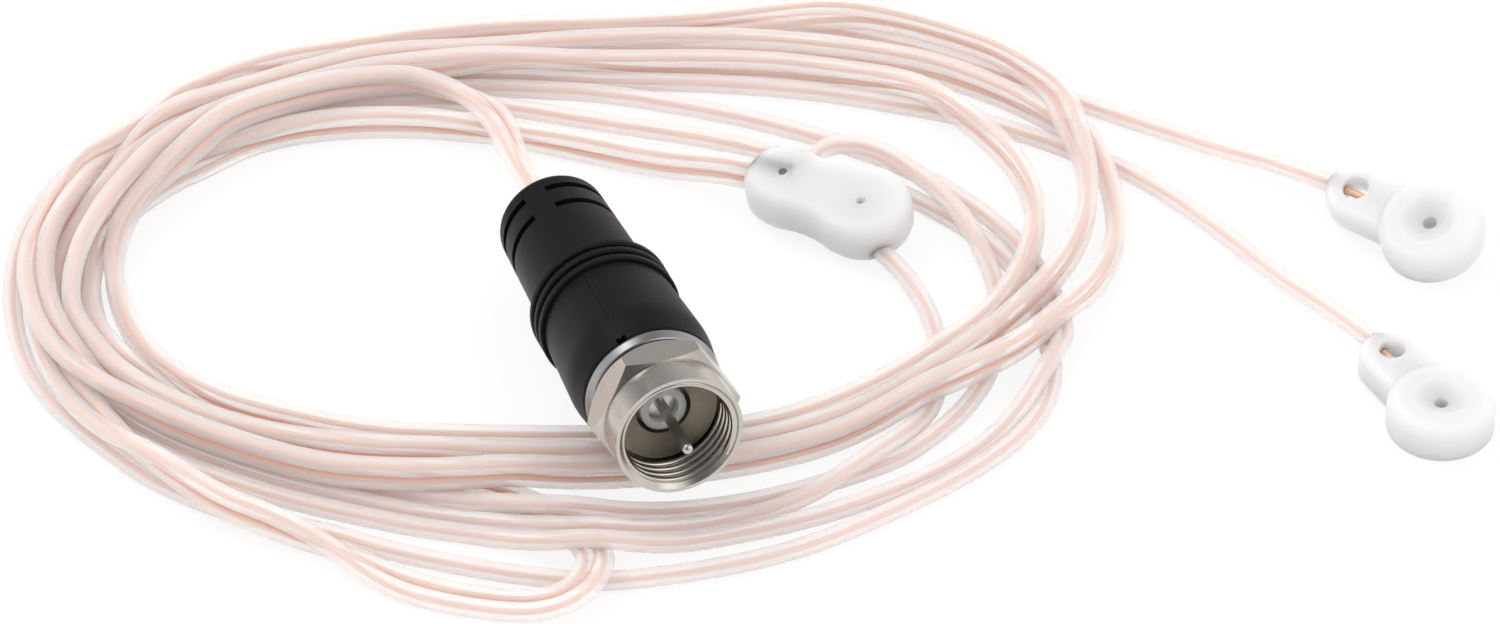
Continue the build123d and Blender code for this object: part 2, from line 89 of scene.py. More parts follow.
# Control points of the cords, in millimetres, given along the photographed turns.
# The twin leaves the plug, goes round four times, folds back at the front and ends in the block.
FEED_POINTS: Points = (
    (-35.9, 6.3, 7), (-39.4, 16.6, 5.5), (-40.9, 21.2, 4.9), (-42.4, 27.6, 4.1), (-44.9, 31.5, 3.6),
    (-48.4, 33.9, 3.2), (-51.7, 34.7, 3.2), (-55.5, 33.7, 3.4), (-59.7, 32.1, 3.6), (-64.7, 28.6, 4),
    (-68.8, 25, 4.1), (-72, 21.4, 3.8), (-73.9, 17.8, 3.4), (-74.8, 14.5, 2.9), (-74.9, 11.2, 2.4),
    (-74.2, 7.3, 2.2), (-72.8, 2.7, 2.4), (-70.7, -1.8, 2.8), (-68.1, -5.1, 3.1), (-64.6, -7.9, 3.2),
    (-59, -10, 3.1), (-54.8, -10.6, 2.8), (-50.7, -10.7, 2.3), (-46.6, -10.7, 1.9),
    (-41.7, -10.9, 1.7), (-33.4, -11, 1.7), (-26, -10.6, 1.7), (-21.5, -9.9, 1.8), (-15.3, -8, 2.2),
    (-9.5, -5.1, 2.7), (-4.5, -1.4, 3.2), (-0.2, 4.1, 3.4), (2.2, 10, 3.4), (3.2, 16.2, 3.3),
    (2.6, 21.5, 3.3), (0.7, 26, 3.2), (-2.9, 30.1, 2.7), (-8.2, 34.7, 2), (-16.8, 37.5, 1.7),
    (-25.4, 38, 1.7), (-34.1, 37.8, 1.7), (-42.7, 37.1, 1.8), (-51.3, 35.5, 2.2), (-58.1, 33, 2.7),
    (-63.9, 29.7, 3), (-68.9, 25.6, 3.2), (-72.7, 21.1, 3.3), (-75.7, 15.6, 3.3), (-77.7, 9.9, 3.2),
    (-78.2, 4.5, 3.1), (-77.1, 0.2, 3.1), (-74.7, -3.5, 3.2), (-70.5, -7.2, 3.2), (-66.1, -10.1, 3.2),
    (-60.8, -12.2, 3.2), (-55.5, -13.4, 3.2), (-50.6, -14.1, 3.1), (-46.5, -13.6, 2.6),
    (-41.6, -13, 1.9), (-33.4, -12.9, 1.7), (-26, -12.5, 1.7), (-20.3, -11.3, 1.7), (-14.5, -8.9, 1.7),
    (-9.5, -5.9, 1.8), (-4.5, -2.1, 2.2), (0.6, 2.8, 3), (4.5, 8.2, 3.6), (7, 14, 4.1),
    (7.9, 20.2, 4.4), (6.9, 26.8, 4.4), (4.2, 33.4, 3.7), (-0.3, 39, 2.7), (-7.2, 42.4, 2.3),
    (-16.8, 43.8, 2.1), (-25.4, 43.7, 2), (-34.1, 42.8, 2.2), (-42.8, 42.8, 1.8), (-51.5, 41.5, 1.9),
    (-59.9, 37.5, 2.8), (-67.5, 33.6, 2.8), (-74.1, 26.9, 3.2), (-78.6, 19.5, 4.1), (-80.9, 13.3, 4.1),
    (-81.1, 8.1, 4.1), (-80.2, 3.2, 4.1), (-78.4, -1, 3.8), (-75.5, -4.8, 3.4), (-71.7, -8.2, 3.3),
    (-66.5, -11.6, 3.3), (-61.4, -14, 3.3), (-56.3, -16, 3.3), (-49.7, -16.8, 3.3),
    (-45.2, -16.7, 3.3), (-40.7, -16.3, 3.1), (-37.1, -15.4, 2.3), (-32.6, -14.7, 1.7),
    (-26, -14, 1.7), (-20.3, -12.6, 1.7), (-14.5, -10.3, 1.7), (-9.5, -7.4, 1.7), (-3.7, -4.2, 2.2),
    (1.3, -0.9, 2.9), (5.6, 4.1, 3.2), (8.7, 9.7, 3), (10.1, 15.6, 2.7), (9.6, 21.3, 2.7),
    (7.7, 26.2, 2.6), (4.2, 31.4, 1.7), (-0.4, 35, 1.7), (-6.4, 38.2, 1.7), (-16.8, 40.4, 1.7),
    (-25.4, 41, 1.7), (-34.1, 40.8, 1.7), (-42.7, 39.7, 2), (-51.3, 37.4, 2.9), (-59.8, 34.4, 3.2),
    (-66.5, 30.6, 3.4), (-71.9, 26.1, 3.3), (-75.8, 21.2, 2.9), (-78.6, 15.5, 2.6), (-80.1, 10.2, 2.5),
    (-80.5, 4.8, 2.5), (-79.3, -0.7, 2.5), (-76.9, -6, 2.5), (-73.5, -11.1, 2.4), (-69.8, -14.9, 2.9),
    (-66.2, -18.2, 3.3), (-63.6, -20.1, 3.3), (-60.8, -20.9, 2.9), (-58.2, -21.8, 2.2),
    (-55, -23.1, 1.4), (-50.7, -26.8, 1.1), (-47, -28.5, 0.9), (-43.3, -29.5, 0.9),
    (-39.6, -30.1, 0.9), (-36.8, -30.1, 1.4), (-34.8, -29.6, 2.2), (-33.8, -27.7, 2.4),
    (-33.5, -25.2, 1.9), (-34.1, -22.7, 1.3), (-35.6, -20.5, 0.9), (-37.9, -18.7, 0.9),
    (-40.8, -17.2, 0.9), (-44.9, -15.8, 0.9), (-50.7, -14.1, 0.9), (-58.2, -11.4, 0.9),
    (-64.7, -8.4, 0.9), (-70.7, -4.3, 0.9), (-74.2, -0.8, 1.7), (-76.2, 3.8, 1.7), (-77, 8.6, 1.7),
    (-76.5, 14.1, 1.2), (-74.6, 19.2, 0.9), (-71.5, 23.4, 1), (-66.6, 27.2, 1.3), (-59.7, 29.7, 1.7),
    (-51.1, 30.5, 1.7), (-42.5, 29.1, 1.7), (-33.9, 26.5, 1.9), (-27.9, 24.3, 2.3), (-22.2, 22.1, 3.1),
    (-17.4, 20, 3.4),
)

# The arms leave the block at its rear and its front, go round twice and end in the tabs.
ARM_A_POINTS: Points = (
    (-16.6, 20.6, 3.6), (-15.6, 23.5, 4.1), (-13.9, 24.4, 4.1), (-11, 24.7, 4), (-8.2, 23.4, 3.5),
    (-5, 20.1, 3), (-2.8, 16.7, 2.4), (-1.2, 13.1, 1.6), (-0.2, 9, 0.9), (-0.2, 2.7, 0.9),
    (-1.6, -3, 0.8), (-4.6, -8, 0.9), (-9.6, -12.7, 0.9), (-17, -16.5, 0.8), (-25.2, -18.5, 0.9),
    (-30.9, -18.9, 1.1), (-34.2, -19.6, 2), (-37, -19.8, 2.5), (-39.9, -19.3, 2.3),
    (-43.6, -18.1, 1.3), (-47.3, -17.5, 0.9), (-52.3, -15.9, 0.9), (-58.1, -13.9, 0.9),
    (-64.6, -11, 0.9), (-70.7, -7.4, 0.9), (-74.6, -3.4, 0.9), (-76.9, 2, 0.9), (-78.2, 8, 0.9),
    (-78, 14.2, 0.9), (-76.1, 19.4, 0.9), (-72.7, 24.3, 0.9), (-67.8, 28.4, 0.9), (-62.4, 32.1, 0.9),
    (-55.6, 34.8, 0.9), (-48.8, 36.4, 0.9), (-42.7, 36.8, 0.9), (-37.5, 36, 0.8), (-32.3, 34.8, 0.9),
    (-25.4, 32.9, 0.9), (-20.2, 31.3, 0.9), (-15.1, 29.1, 0.9), (-10, 26.6, 0.9), (-4.9, 22.9, 0.9),
    (0.1, 17.6, 0.8), (3, 12.7, 0.9), (4.7, 7.1, 0.8), (4.8, 1.6, 0.9), (2.6, -5.4, 0.9),
    (-1.7, -10.9, 0.9), (-8.8, -16, 0.9), (-17, -19.9, 0.9), (-25.2, -22.2, 0.9), (-29.2, -23.3, 1.7),
    (-33, -24.8, 3.2), (-36.5, -23.9, 2.5), (-40.7, -22.1, 1.2), (-45.6, -20.9, 0.9),
    (-50.5, -19.7, 0.9), (-57.9, -17.5, 0.9), (-64.5, -14.7, 0.8), (-70.5, -11.4, 0.9),
    (-75, -7.4, 0.9), (-78.9, -0.6, 0.8), (-81.1, 5.8, 0.9), (-81.8, 11.4, 0.8), (-80.8, 17.3, 0.9),
    (-78.2, 22.7, 1.4), (-74, 27.3, 2.5), (-68, 32.5, 2.5), (-60.9, 37.9, 1.5), (-51.5, 41.7, 0.9),
    (-42.8, 43, 0.9), (-34.2, 43.6, 0.9), (-25.5, 44.1, 0.9), (-16.7, 43.9, 0.9), (-8.1, 42.3, 0.9),
    (-1.2, 38.8, 1), (3.9, 35.8, 1.1), (7.8, 33.5, 1.2), (12.4, 31.1, 1.4), (16.6, 28.8, 1.7),
    (20.8, 25.8, 2.2), (24.9, 22.3, 2.9), (27.1, 21, 3.2), (28.9, 19.7, 3.2),
)

ARM_B_POINTS: Points = (
    (-12.2, 15.4, 2.4), (-9.7, 12.6, 1.7), (-8, 10.7, 1.2), (-6.4, 7.4, 0.9), (-5.4, 2.9, 0.8),
    (-5.5, -1.5, 0.9), (-6.5, -5.9, 0.9), (-8.5, -10.6, 0.9), (-12.1, -14.4, 0.9), (-17.8, -18.2, 0.9),
    (-25.2, -20.4, 1), (-30.1, -21.3, 1.6), (-33.7, -22.3, 2.6), (-37, -22, 2.4), (-40.7, -20.3, 1.3),
    (-44.8, -19.3, 0.9), (-50.6, -18, 0.9), (-58, -15.8, 0.9), (-64.5, -12.8, 0.9), (-70.6, -9.4, 0.9),
    (-74.7, -5.4, 0.9), (-78, 1.1, 0.9), (-79.8, 8, 0.9), (-79.8, 14, 0.8), (-77.6, 19.7, 0.9),
    (-73.6, 24.5, 0.9), (-68.2, 27.6, 0.8), (-61.5, 31.7, 0.9), (-54.7, 34, 0.9), (-47.8, 34.4, 0.9),
    (-40.9, 33, 0.9), (-34, 31.1, 0.9), (-25.4, 29.2, 0.9), (-20.2, 27.4, 0.9), (-14.3, 25, 0.9),
    (-8.3, 21.9, 0.9), (-3.3, 17.6, 0.8), (0.4, 13.4, 0.9), (2.8, 9, 0.9), (4.2, 3.9, 0.9),
    (4.6, -0.6, 0.8), (2.7, -7.1, 0.9), (-2.2, -13.3, 0.9), (-9.7, -18.8, 0.9), (-17, -23.3, 0.9),
    (-25.2, -25.9, 0.9), (-32.9, -27, 0.9), (-38.7, -26.5, 0.9), (-44.5, -25.2, 0.9),
    (-51.2, -23.3, 0.9), (-56.7, -21.6, 0.9), (-61.3, -20, 0.9), (-65.9, -17.6, 0.9),
    (-68.5, -15.9, 0.9), (-71.2, -13.8, 0.9), (-75.6, -9.1, 0.9), (-79.3, -4.7, 0.9),
    (-81.6, -0.1, 0.8), (-82.9, 5.2, 0.9), (-83.3, 11.6, 0.9), (-82.4, 18.1, 0.9), (-79.2, 25, 0.9),
    (-74.4, 30.1, 0.9), (-67.6, 33.4, 0.9), (-60, 35.2, 0.9), (-51.3, 36.3, 0.9), (-42.7, 36.9, 0.9),
    (-35.8, 37.2, 0.9), (-28.9, 36.8, 0.9), (-20.2, 36, 0.8), (-12.5, 34.8, 0.9), (-6.4, 33.3, 0.9),
    (0.4, 30.5, 0.9), (5.5, 28.3, 0.9), (9.3, 26.1, 0.9), (12.2, 23.9, 1), (16.3, 19.7, 1.2),
    (20.3, 14.9, 1.4), (24.3, 9.5, 1.6), (27.5, 5.6, 1.7), (30.2, 2.5, 1.8), (31.3, 0.6, 1.8),
)


class Body(Enum):
    """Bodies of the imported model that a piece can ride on."""

    ANTENNA = "antenna"
    NUT = "nut"


class Slot(Enum):
    """Material slots of the record."""

    CLEAR_CORD = "clear_cord"
    BLACK_MOULDING = "black_moulding"
    NICKEL_PLATE = "nickel_plate"
    WHITE_INSULATOR = "white_insulator"
    TINNED_COPPER = "tinned_copper"
    FERRITE = "ferrite"
    COPPER = "copper"
    WHITE_MOULDING = "white_moulding"


NODE_SLOTS: dict[str, Slot] = {
    "connector_body": Slot.BLACK_MOULDING,
    "connector_post": Slot.NICKEL_PLATE,
    "pin_insulator": Slot.WHITE_INSULATOR,
    "centre_pin": Slot.TINNED_COPPER,
    "coupling_nut": Slot.NICKEL_PLATE,
    "ferrite_core": Slot.FERRITE,
    "transformer_winding": Slot.COPPER,
    "feed_conductors": Slot.COPPER,
    "junction_block": Slot.WHITE_MOULDING,
    "arm_a_wire": Slot.COPPER,
    "arm_b_wire": Slot.COPPER,
    "end_tab_a": Slot.WHITE_MOULDING,
    "end_tab_b": Slot.WHITE_MOULDING,
}


def put(name: str, data: Any) -> bpy.types.Object:
    """Add an object to the scene, at the origin."""
    item = bpy.data.objects.new(name, data)
    bpy.context.scene.collection.objects.link(item)
    return item


def take_mesh(maker: bpy.types.Object) -> bpy.types.Mesh:
    """Turn what an object evaluates to into a plain mesh, and remove the object."""
    evaluated = maker.evaluated_get(bpy.context.evaluated_depsgraph_get())
    mesh = bpy.data.meshes.new_from_object(evaluated)
    bpy.data.objects.remove(maker)
    return mesh


def run_of(line: np.ndarray) -> np.ndarray:
    """Length along a line up to each of its points."""
    return np.concatenate(([0.0], np.cumsum(np.linalg.norm(np.diff(line, axis=0), axis=1))))


def unit(rows: np.ndarray) -> np.ndarray:
    """Vectors made one long."""
    return rows / np.linalg.norm(rows, axis=1)[:, None]


def heading(line: np.ndarray) -> np.ndarray:
    """Direction of a line at each of its points."""
    return unit(np.gradient(line, axis=0))


def part_along(rows: np.ndarray, along: np.ndarray) -> np.ndarray:
    """The part of each vector that points along a line."""
    return along * np.sum(rows * along, axis=1)[:, None]


def quads(rings: int, sides: int, joined: bool = False) -> list[tuple[int, ...]]:
    """Faces between neighbouring rings of points.

    Args:
        rings: Number of rings.
        sides: Points of each ring.
        joined: Whether the last ring meets the first.

    Returns:
        The corners of each face.
    """
    faces: list[tuple[int, ...]] = []
    for ring in range(rings if joined else rings - 1):
        low, high = ring * sides, (ring + 1) % rings * sides
        for side in range(sides):
            after = (side + 1) % sides
            faces.append((low + side, low + after, high + after, high + side))
    return faces


Number = Union["Signal", float]


class Signal:
    """A value socket that can be used in Python expressions."""

    def __init__(self, graph: "Graph", socket: bpy.types.NodeSocket) -> None:
        """Wrap an output socket of a graph."""
        self.graph = graph
        self.socket = socket

    def _math(self, operation: str, first: Number, second: Number = 0.0) -> "Signal":
        """Add one Math node.

        Args:
            operation: Blender's name of the operation.
            first: First operand.
            second: Second operand.

        Returns:
            The node's result.
        """
        node = self.graph.node("ShaderNodeMath", {"operation": operation}, {0: first, 1: second})
        return Signal(self.graph, node.outputs[0])

    def __add__(self, other: Number) -> "Signal":
        """Sum of two values."""
        return self._math("ADD", self, other)

    __radd__ = __add__

    def __sub__(self, other: Number) -> "Signal":
        """Difference of two values."""
        return self._math("SUBTRACT", self, other)

    def __rsub__(self, other: Number) -> "Signal":
        """Difference with the value on the right."""
        return self._math("SUBTRACT", other, self)

    def __mul__(self, other: Number) -> "Signal":
        """Product of two values."""
        return self._math("MULTIPLY", self, other)

    __rmul__ = __mul__

    def at_most(self, limit: Number) -> "Signal":
        """The smaller of the value and a limit."""
        return self._math("MINIMUM", self, limit)

    def half_up(self) -> "Signal":
        """The value's range from -1 to 1 brought to 0 to 1."""
        return self * 0.5 + 0.5

    def wave(self) -> "Signal":
        """Sine of the value, from 0 to 1."""
        return self._math("SINE", self).half_up()

    def squared(self, times: int) -> "Signal":
        """The value squared so many times, which narrows a band."""
        value = self
        for _ in range(times):
            value = value * value
        return value


class Graph:
    """A node tree, with one method that adds any node."""

    def __init__(self, tree: bpy.types.NodeTree) -> None:
        """Empty the tree."""
        self.tree = tree
        self.tree.nodes.clear()

    @classmethod
    def on(cls, owner: Union[bpy.types.Material, bpy.types.World]) -> "Graph":
        """Graph of a material or a world."""
        owner.use_nodes = True
        return cls(owner.node_tree)

    def node(
        self, kind: str, settings: dict[str, Any] | None = None, sockets: dict[Any, Any] | None = None
    ) -> bpy.types.Node:
        """Add a node, set it up, then set or link its sockets.

        Args:
            kind: Node type.
            settings: Properties of the node.
            sockets: Values, signals or output sockets, by the input's name or number.

        Returns:
            The node.
        """
        node = self.tree.nodes.new(kind)
        for name, value in (settings or {}).items():
            setattr(node, name, value)
        for name, value in (sockets or {}).items():
            if isinstance(value, Signal):
                value = value.socket
            if isinstance(value, bpy.types.NodeSocket):
                self.tree.links.new(value, node.inputs[name])
            else:
                node.inputs[name].default_value = value
        return node

    def coordinates(self, which: str) -> bpy.types.NodeSocket:
        """One kind of texture coordinates."""
        return self.node("ShaderNodeTexCoord").outputs[which]

    def parts(self, which: str) -> list[Signal]:
        """The three values of one kind of texture coordinates."""
        node = self.node("ShaderNodeSeparateXYZ", None, {0: self.coordinates(which)})
        return [Signal(self, output) for output in node.outputs]

    def noise(self, scale: float, detail: float) -> Signal:
        """Noise of a scale per metre on the piece's own coordinates."""
        sockets = {"Vector": self.coordinates("Object"), "Scale": scale, "Detail": detail}
        return Signal(self, self.node("ShaderNodeTexNoise", None, sockets).outputs[0])

    def blend(self, amount: Number, first: Any, second: Any) -> bpy.types.NodeSocket:
        """Mix two colours.

        Args:
            amount: Share of the second colour.
            first: First colour or its socket.
            second: Second colour or its socket.

        Returns:
            The mixed colour.
        """
        colours = [(*c, 1.0) if isinstance(c, tuple) else c for c in (first, second)]
        # The node's colour sockets have no names of their own, so they go by number.
        sockets = {0: amount, 6: colours[0], 7: colours[1]}
        return self.node("ShaderNodeMix", {"data_type": "RGBA"}, sockets).outputs[2]

    def bump(self, height: Number, strength: float, distance: float) -> bpy.types.NodeSocket:
        """Normal bumped by a height, with its distance in metres."""
        sockets = {"Height": height, "Strength": strength, "Distance": distance}
        return self.node("ShaderNodeBump", None, sockets).outputs[0]

    def worn_edges(self, radius: float, gain: float = 3.0, samples: int = 6) -> Signal:
        """Mask of convex edges, from the difference of bevelled and plain normals.

        Args:
            radius: Reach of the wear, in metres.
            gain: How soon the mask is full.
            samples: Samples of the bevel.

        Returns:
            The mask, 1 along the edges.
        """
        bevel = self.node("ShaderNodeBevel", {"samples": samples}, {"Radius": radius})
        plain = self.node("ShaderNodeNewGeometry").outputs["Normal"]
        sockets = {0: bevel.outputs[0], 1: plain}
        dot = self.node("ShaderNodeVectorMath", {"operation": "DOT_PRODUCT"}, sockets).outputs["Value"]
        return ((1.0 - Signal(self, dot)) * gain).at_most(1.0)

    def surface(self, shader: bpy.types.NodeSocket) -> None:
        """Link a shader to the material's output."""
        self.node("ShaderNodeOutputMaterial", None, {"Surface": shader})


@dataclass(frozen=True)
class Finish:
    """What every finish has: a name, a colour and one Principled shader.

    In the finishes, a pattern's pair is its scale per metre and its detail, rough is a base and what the
    pattern adds to it, and relief is the bump's strength and its depth in metres.
    """

    name: str
    colour: Colour

    def sockets(self, graph: Graph) -> dict[str, Any]:
        """Values and links of the shader."""
        raise NotImplementedError

    def build(self) -> bpy.types.Material:
        """Make the material."""
        material = bpy.data.materials.new(self.name)
        graph = Graph.on(material)
        graph.surface(graph.node("ShaderNodeBsdfPrincipled", None, self.sockets(graph)).outputs[0])
        return material


@dataclass(frozen=True)
class ClearSheath(Finish):
    """Soft clear PVC, a little milky, with a waxy skin and a warm line of painted shade along the crease of
    a twin.
    """

    milk: Colour = (0.99, 0.89, 0.865)
    clearness: float = 0.56
    # Strength, colour and narrowing of the line of painted shade along the twin's crease.
    crease_shade: float = 0.0
    crease_shade_colour: Colour = (0.72, 0.34, 0.22)
    crease_shade_narrowing: int = 5
    cloud: Pair = (90.0, 3.0)
    skin: Pair = (900.0, 2.0)
    rough: Pair = (0.3, 0.12)
    relief: Pair = (0.03, 0.0002)
    glow: float = 1.0
    glow_tint: Colour = (1.0, 0.9, 0.85)
    glow_depth: float = 0.002

    def sockets(self, graph: Graph) -> dict[str, Any]:
        """Milky clouds and creases darkened with painted shade, over a soft glow."""
        cloud = graph.noise(*self.cloud)
        skin = graph.noise(*self.skin)
        around = graph.parts("UV")[0]
        # The two creases of a twin lie where its two cores begin in the map, half a turn apart. A warm line
        # of painted shade is laid along each.
        line = (around * (2.0 * math.tau) + math.pi / 2).wave().squared(self.crease_shade_narrowing)
        pvc = graph.blend(cloud, self.colour, self.milk)
        return {
            "Base Color": graph.blend(line * self.crease_shade, pvc, self.crease_shade_colour),
            "Roughness": self.rough[0] + cloud * self.rough[1],
            "Alpha": 1.0 - self.clearness,
            "Subsurface Weight": self.glow,
            "Subsurface Radius": self.glow_tint,
            "Subsurface Scale": self.glow_depth,
            "Normal": graph.bump(skin, *self.relief),
        }


@dataclass(frozen=True)
class Copper(Finish):
    """Bright drawn copper, as the twisted strands of a conductor or as a winding."""

    dull: Colour = (0.86, 0.46, 0.32)
    lay_count: float = 5.0
    lay_turns: float = 0.12
    tarnish: Pair = (400.0, 4.0)
    metal: float = 0.35
    rough: Pair = (0.3, 0.15)
    relief: Pair = (0.5, 0.0001)

    def sockets(self, graph: Graph) -> dict[str, Any]:
        """Tarnish over the twist of the strands."""
        around, along, _ = graph.parts("UV")
        strands = ((around * self.lay_count + along * self.lay_turns) * math.tau).wave()
        tarnish = graph.noise(*self.tarnish)
        return {
            "Base Color": graph.blend(tarnish, self.colour, self.dull),
            "Metallic": self.metal,
            "Roughness": self.rough[0] + tarnish * self.rough[1],
            "Normal": graph.bump(strands, *self.relief),
        }


@dataclass(frozen=True)
class BlackMoulding(Finish):
    """Satin black PVC with a fine spark-eroded grain and rubbed edges."""

    rubbed: Colour = (0.02, 0.02, 0.021)
    edge: float = 0.0003
    edge_rub: float = 0.6
    patch_rub: float = 0.25
    grain: Pair = (5200.0, 2.0)
    patches: Pair = (160.0, 4.0)
    rough: Pair = (0.34, 0.2)
    shine: float = 0.12
    relief: Pair = (0.25, 0.00004)

    def sockets(self, graph: Graph) -> dict[str, Any]:
        """Grain under rubbed edges and patches."""
        grain = graph.noise(*self.grain)
        patches = graph.noise(*self.patches)
        rubbing = graph.worn_edges(self.edge) * self.edge_rub + patches * self.patch_rub
        return {
            "Base Color": graph.blend(rubbing, self.colour, self.rubbed),
            "Roughness": self.rough[0] + patches * self.rough[1],
            "Specular IOR Level": self.shine,
            "Normal": graph.bump(grain, *self.relief),
        }


@dataclass(frozen=True)
class NickelPlate(Finish):
    """Bright nickel over machined brass, with turning marks and rubbed edges."""

    warm: Colour = (0.52, 0.475, 0.42)
    gloss: float = 0.16
    edge: float = 0.00025
    haze: Pair = (300.0, 4.0)
    haze_tint: float = 0.7
    haze_rough: float = 0.14
    scuffs: Pair = (2600.0, 3.0)
    scuff_rough: float = 0.06
    relief: Pair = (0.08, 0.00005)

    def sockets(self, graph: Graph) -> dict[str, Any]:
        """Warm haze between bright edges, under fine scuffs."""
        haze = graph.noise(*self.haze)
        scuffs = graph.noise(*self.scuffs)
        edges = graph.worn_edges(self.edge)
        return {
            "Base Color": graph.blend(haze * self.haze_tint * (1.0 - edges), self.colour, self.warm),
            "Metallic": 1.0,
            "Roughness": self.gloss + haze * self.haze_rough + scuffs * self.scuff_rough,
            "Normal": graph.bump(scuffs, *self.relief),
        }


@dataclass(frozen=True)
class WhiteMoulding(Finish):
    """Natural polythene, waxy and slightly see-through at thin edges."""

    shade: Colour = (0.6, 0.605, 0.61)
    flow: Pair = (140.0, 3.0)
    flow_relief: float = 2.0
    grain: Pair = (2400.0, 2.0)
    rough: Pair = (0.4, 0.14)
    relief: Pair = (0.1, 0.0001)
    glow: float = 1.0
    glow_tint: Colour = (1.0, 1.0, 1.0)
    glow_depth: float = 0.005

    def sockets(self, graph: Graph) -> dict[str, Any]:
        """Flow marks and grain over a soft glow."""
        flow = graph.noise(*self.flow)
        grain = graph.noise(*self.grain)
        return {
            "Base Color": graph.blend(flow, self.colour, self.shade),
            "Roughness": self.rough[0] + flow * self.rough[1],
            "Subsurface Weight": self.glow,
            "Subsurface Radius": self.glow_tint,
            "Subsurface Scale": self.glow_depth,
            "Normal": graph.bump(grain + flow * self.flow_relief, *self.relief),
        }


@dataclass(frozen=True)
class TinnedWire(Finish):
    """Tinned copper wire with drawing marks along it."""

    dull: Colour = (0.48, 0.46, 0.44)
    marks: Pair = (1800.0, 3.0)
    rough: Pair = (0.22, 0.2)
    relief: Pair = (0.12, 0.00005)

    def sockets(self, graph: Graph) -> dict[str, Any]:
        """Drawing marks that are duller and rougher."""
        marks = graph.noise(*self.marks)
        return {
            "Base Color": graph.blend(marks, self.colour, self.dull),
            "Metallic": 1.0,
            "Roughness": self.rough[0] + marks * self.rough[1],
            "Normal": graph.bump(marks, *self.relief),
        }


@dataclass(frozen=True)
class Ferrite(Finish):
    """Dark sintered ceramic with a fine open grain."""

    speck: Colour = (0.11, 0.105, 0.1)
    grain: Pair = (3000.0, 5.0)
    rough: Pair = (0.6, 0.25)
    relief: Pair = (0.4, 0.00008)

    def sockets(self, graph: Graph) -> dict[str, Any]:
        """Grain with pale specks."""
        grain = graph.noise(*self.grain)
        return {
            "Base Color": graph.blend(grain, self.colour, self.speck),
            "Roughness": self.rough[0] + grain * self.rough[1],
            "Normal": graph.bump(grain, *self.relief),
        }


@dataclass
class Finishes:
    """One finish for each material slot, and tones of their own for some pieces."""

    made: dict[Slot, bpy.types.Material] = field(default_factory=dict)
    toned: dict[str, bpy.types.Material] = field(default_factory=dict)

    def build(self) -> "Finishes":
        """Make the materials."""
        by_slot: dict[Slot, Finish] = {
            Slot.CLEAR_CORD: ClearSheath(
                "clear_pvc_sheath", (0.88, 0.775, 0.75), milk=(0.9, 0.815, 0.795), clearness=0.5
            ),
            Slot.BLACK_MOULDING: BlackMoulding("black_satin_moulding", (0.004, 0.004, 0.0042)),
            Slot.NICKEL_PLATE: NickelPlate("nickel_plate", (0.6, 0.57, 0.53)),
            Slot.WHITE_INSULATOR: WhiteMoulding("white_insulator", (0.8, 0.77, 0.71)),
            Slot.TINNED_COPPER: TinnedWire("tinned_copper_wire", (0.72, 0.7, 0.68)),
            Slot.FERRITE: Ferrite("ferrite", (0.05, 0.05, 0.052)),
            Slot.COPPER: Copper("bright_copper", (0.97, 0.61, 0.46)),
            Slot.WHITE_MOULDING: WhiteMoulding("white_polythene", (0.63, 0.63, 0.635)),
        }
        self.made = {slot: finish.build() for slot, finish in by_slot.items()}
        strands = Copper("strand_copper", (0.84, 0.46, 0.33), dull=(0.72, 0.36, 0.24)).build()
        cores = ("feed_conductor_upper", "feed_conductor_lower", "arm_a_conductor", "arm_b_conductor")
        by_piece: dict[str, Finish] = {
            # The twin's own sheath carries the warm line of painted shade along its crease.
            "feed_cord": ClearSheath("clear_pvc_twin", (0.97, 0.845, 0.81), crease_shade=0.6),
            # The post deep inside the nut gets a dark brown copy of the nickel as painted shade.
            "connector_post": NickelPlate("nickel_painted_shade", (0.22, 0.185, 0.145), (0.13, 0.105, 0.08), 0.24),
            "front_ring": NickelPlate("grey_nickel", (0.4, 0.4, 0.4), (0.3, 0.295, 0.29), 0.2),
        }
        self.toned = {name: finish.build() for name, finish in by_piece.items()}
        self.toned.update((name, strands) for name in cores)
        return self

    def paint(self, piece: bpy.types.Object, slot: Slot) -> None:
        """Give a piece its own tone of a finish where it has one, else its slot's finish."""
        material = self.toned.get(piece.name, self.made[slot])
        piece.data.materials.clear()
        piece.data.materials.append(material)
        LOG.info("%s: %d faces in %s", piece.name, len(piece.data.polygons), material.name)

    def dress(self, piece: bpy.types.Object, slot: Slot, body: Body) -> None:
        """Paint a new piece with its slot's finish and let it ride on a body.

        Args:
            piece: The piece.
            slot: Its material slot.
            body: The body that it moves with.
        """
        self.paint(piece, slot)
        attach(piece, body.value)


@dataclass
class CordRoute:
    """A cord's control points and the line of the spline that they hold."""

    name: str
    points: Points
    spacing: float = 0.8
    order: int = 3
    resolution: int = 14

    def line(self) -> np.ndarray:
        """Points read from the cord's own spline, evenly spaced, in millimetres."""
        curve = bpy.data.curves.new(self.name + "_route", "CURVE")
        curve.dimensions = "3D"
        curve.resolution_u = self.resolution
        spline = curve.splines.new("NURBS")
        spline.points.add(len(self.points) - 1)
        for target, point in zip(spline.points, self.points):
            target.co = (point[0] * MM, point[1] * MM, point[2] * MM, 1.0)
        spline.order_u = self.order
        spline.use_endpoint_u = True
        mesh = take_mesh(put(self.name + "_route", curve))
        read = np.empty(len(mesh.vertices) * 3)
        mesh.vertices.foreach_get("co", read)
        bpy.data.meshes.remove(mesh)
        bpy.data.curves.remove(curve)
        read = read.reshape(-1, 3) / MM
        run = run_of(read)
        places = np.linspace(0.0, run[-1], round(run[-1] / self.spacing) + 1)
        return np.stack([np.interp(places, run, read[:, axis]) for axis in range(3)], axis=1)


